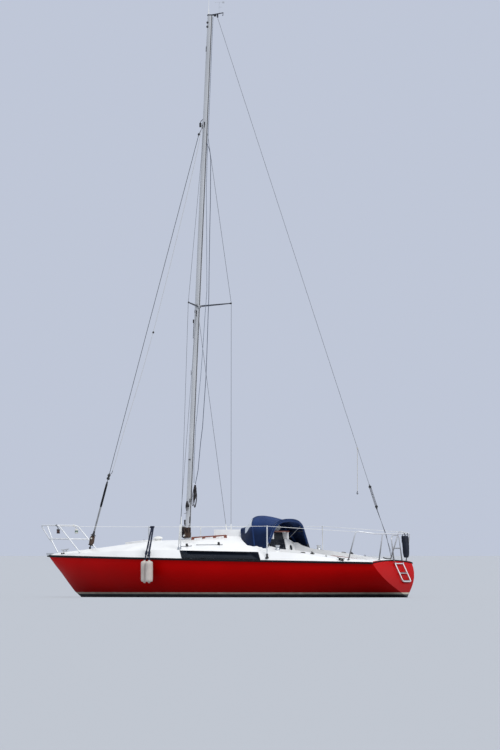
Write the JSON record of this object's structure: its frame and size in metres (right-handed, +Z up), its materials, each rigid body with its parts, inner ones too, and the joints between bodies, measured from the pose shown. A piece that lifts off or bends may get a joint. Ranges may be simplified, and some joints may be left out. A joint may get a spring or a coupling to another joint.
{
  "type": "sailing yacht",
  "caption": "Small keeled sailing yacht afloat, with a stayed mast, guard rails, sprayhood, tiller, opening hatches and lockers and a folding stern ladder.",
  "frame": {"origin": "on the centreline amidships, at the waterline", "axes": "+X forward to the bow, +Y to port, +Z up"},
  "size_m": [7.7788, 2.7536, 13.4698],
  "materials": {
    "hull_red": "deep red gelcoat, glossy",
    "gelcoat_white": "white gelcoat, satin with grime in corners",
    "rubber_black": "matt black",
    "antifouling": "matt dark antifouling paint",
    "window": "smoked acrylic",
    "teak": "varnished red-brown",
    "steel": "polished stainless",
    "alloy": "anodised, satin",
    "canvas_navy": "woven canvas",
    "fender": "soft vinyl, off-white",
    "board_dark": "smoked acrylic",
    "lamp_dark": "satin",
    "lamp_pale": "satin",
    "rope": "braided"
  },
  "bodies": {
    "boat": {"hull": "hull_red", "deck": "gelcoat_white", "rub_rail": "rubber_black", "window_port": "window", "window_starboard": "window", "cockpit": "gelcoat_white", "hatch_garage": "gelcoat_white", "washboards": "board_dark", "fore_hatch_frame": "alloy", "deck_vent": "gelcoat_white", "handrail_port": "teak", "handrail_starboard": "teak", "mast": "alloy", "mast_step": "alloy", "masthead_crane": "alloy", "vhf_aerial": "lamp_pale", "spreader_port": "alloy", "spreader_starboard": "alloy", "cap_shroud_port": "steel", "lower_shroud_port": "steel", "cap_shroud_starboard": "steel", "lower_shroud_starboard": "steel", "forestay": "steel", "backstay": "steel", "pulpit": "steel", "pushpit": "steel", "guard_rail_port": "steel", "guard_rail_starboard": "steel", "sprayhood": "canvas_navy", "sprayhood_frame": "steel", "winch_port": "steel", "winch_starboard": "steel", "bow_cleat": "rubber_black", "stem_fitting": "steel", "nav_lamp_port": "lamp_dark", "nav_lamp_starboard": "lamp_pale", "fender_fore": "fender", "fender_aft": "fender", "keel": "antifouling", "ladder_upper": "steel", "stern_bag": "canvas_navy", "strop_line": "rope", "strop_hook": "steel"},
    "steering": {"rudder": "antifouling", "tiller": "teak"},
    "main_hatch": {"main_hatch": "gelcoat_white"},
    "fore_hatch": {"fore_hatch": "window"},
    "port_locker_lid": {"locker_lid_port": "gelcoat_white"},
    "starboard_locker_lid": {"locker_lid_starboard": "gelcoat_white"},
    "stern_ladder": {"ladder_lower": "steel"}
  },
  "joints": [
    {"name": "steering", "type": "hinge", "parent": "boat", "child": "steering", "pos_m": [-3.12, 0, 0], "axis": [0, 0, 1], "range_deg": [-35, 35]},
    {"name": "main_hatch_slide", "type": "slide", "parent": "boat", "child": "main_hatch", "axis": [1, 0, 0], "range_m": [0, 0.55]},
    {"name": "fore_hatch_hinge", "type": "hinge", "parent": "boat", "child": "fore_hatch", "pos_m": [2.0986, 0, 1.04], "axis": [0, 1, 0], "range_deg": [0, 110]},
    {"name": "port_locker_hinge", "type": "hinge", "parent": "boat", "child": "port_locker_lid", "pos_m": [-1.95, 0.63, 0.622], "axis": [-1, 0, 0], "range_deg": [0, 85]},
    {"name": "starboard_locker_hinge", "type": "hinge", "parent": "boat", "child": "starboard_locker_lid", "pos_m": [-1.95, -0.63, 0.622], "axis": [1, 0, 0], "range_deg": [0, 85]},
    {"name": "stern_ladder_hinge", "type": "hinge", "parent": "boat", "child": "stern_ladder", "pos_m": [-3.538, -0.22, 0.662], "axis": [0, 1, 0], "range_deg": [0, 135]}
  ]
}
